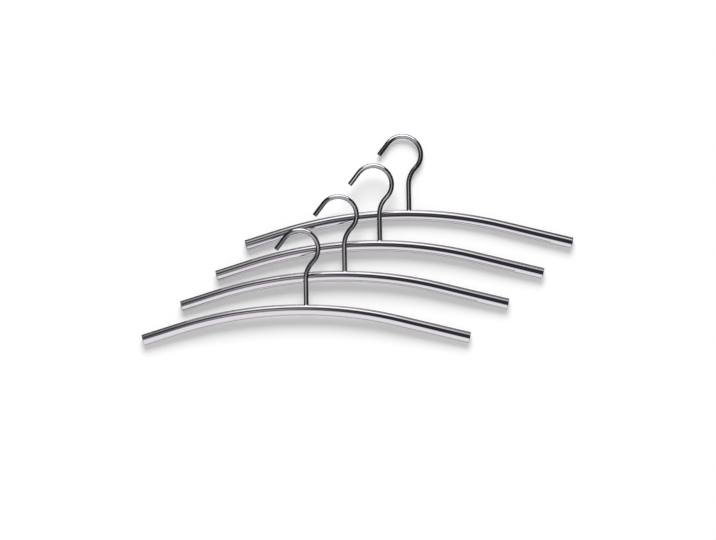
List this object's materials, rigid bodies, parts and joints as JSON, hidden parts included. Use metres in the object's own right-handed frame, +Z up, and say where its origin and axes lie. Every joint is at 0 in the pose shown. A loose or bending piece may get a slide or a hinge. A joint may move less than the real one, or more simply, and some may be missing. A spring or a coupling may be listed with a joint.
{
  "type": "coat hanger set",
  "caption": "Bow-shaped steel tube coat hangers with round-rod hooks, lying staggered with each hook over the tube behind it.",
  "frame": {"origin": "bottom centre of the whole set, on the table that the hangers lie on", "axes": "+Z up from the table, +Y towards the hooks, +X to the right along the bows, as seen from above"},
  "size_m": [0.5502, 0.2712, 0.0411],
  "materials": {
    "polished_tube": "polished",
    "polished_rod": "polished",
    "polished_plug": "polished",
    "plain_steel": "satin"
  },
  "bodies": {
    "rear_hanger": {"bow_tube_rear": "polished_tube", "hook_rear": "polished_rod", "hook_anchor_rear": "plain_steel", "left_end_plug_rear": "polished_plug", "right_end_plug_rear": "polished_plug"},
    "third_hanger": {"bow_tube_third": "polished_tube", "hook_third": "polished_rod", "hook_anchor_third": "plain_steel", "left_end_plug_third": "polished_plug", "right_end_plug_third": "polished_plug"},
    "second_hanger": {"bow_tube_second": "polished_tube", "hook_second": "polished_rod", "hook_anchor_second": "plain_steel", "left_end_plug_second": "polished_plug", "right_end_plug_second": "polished_plug"},
    "front_hanger": {"bow_tube_front": "polished_tube", "hook_front": "polished_rod", "hook_anchor_front": "plain_steel", "left_end_plug_front": "polished_plug", "right_end_plug_front": "polished_plug"}
  },
  "joints": [
    {"name": "third_lift", "type": "slide", "parent": "rear_hanger", "child": "third_hanger", "axis": [0, 0, 1], "range_m": [0, 0.12]},
    {"name": "second_lift", "type": "slide", "parent": "third_hanger", "child": "second_hanger", "axis": [0, 0, 1], "range_m": [0, 0.12]},
    {"name": "front_lift", "type": "slide", "parent": "second_hanger", "child": "front_hanger", "axis": [0, 0, 1], "range_m": [0, 0.12]}
  ]
}
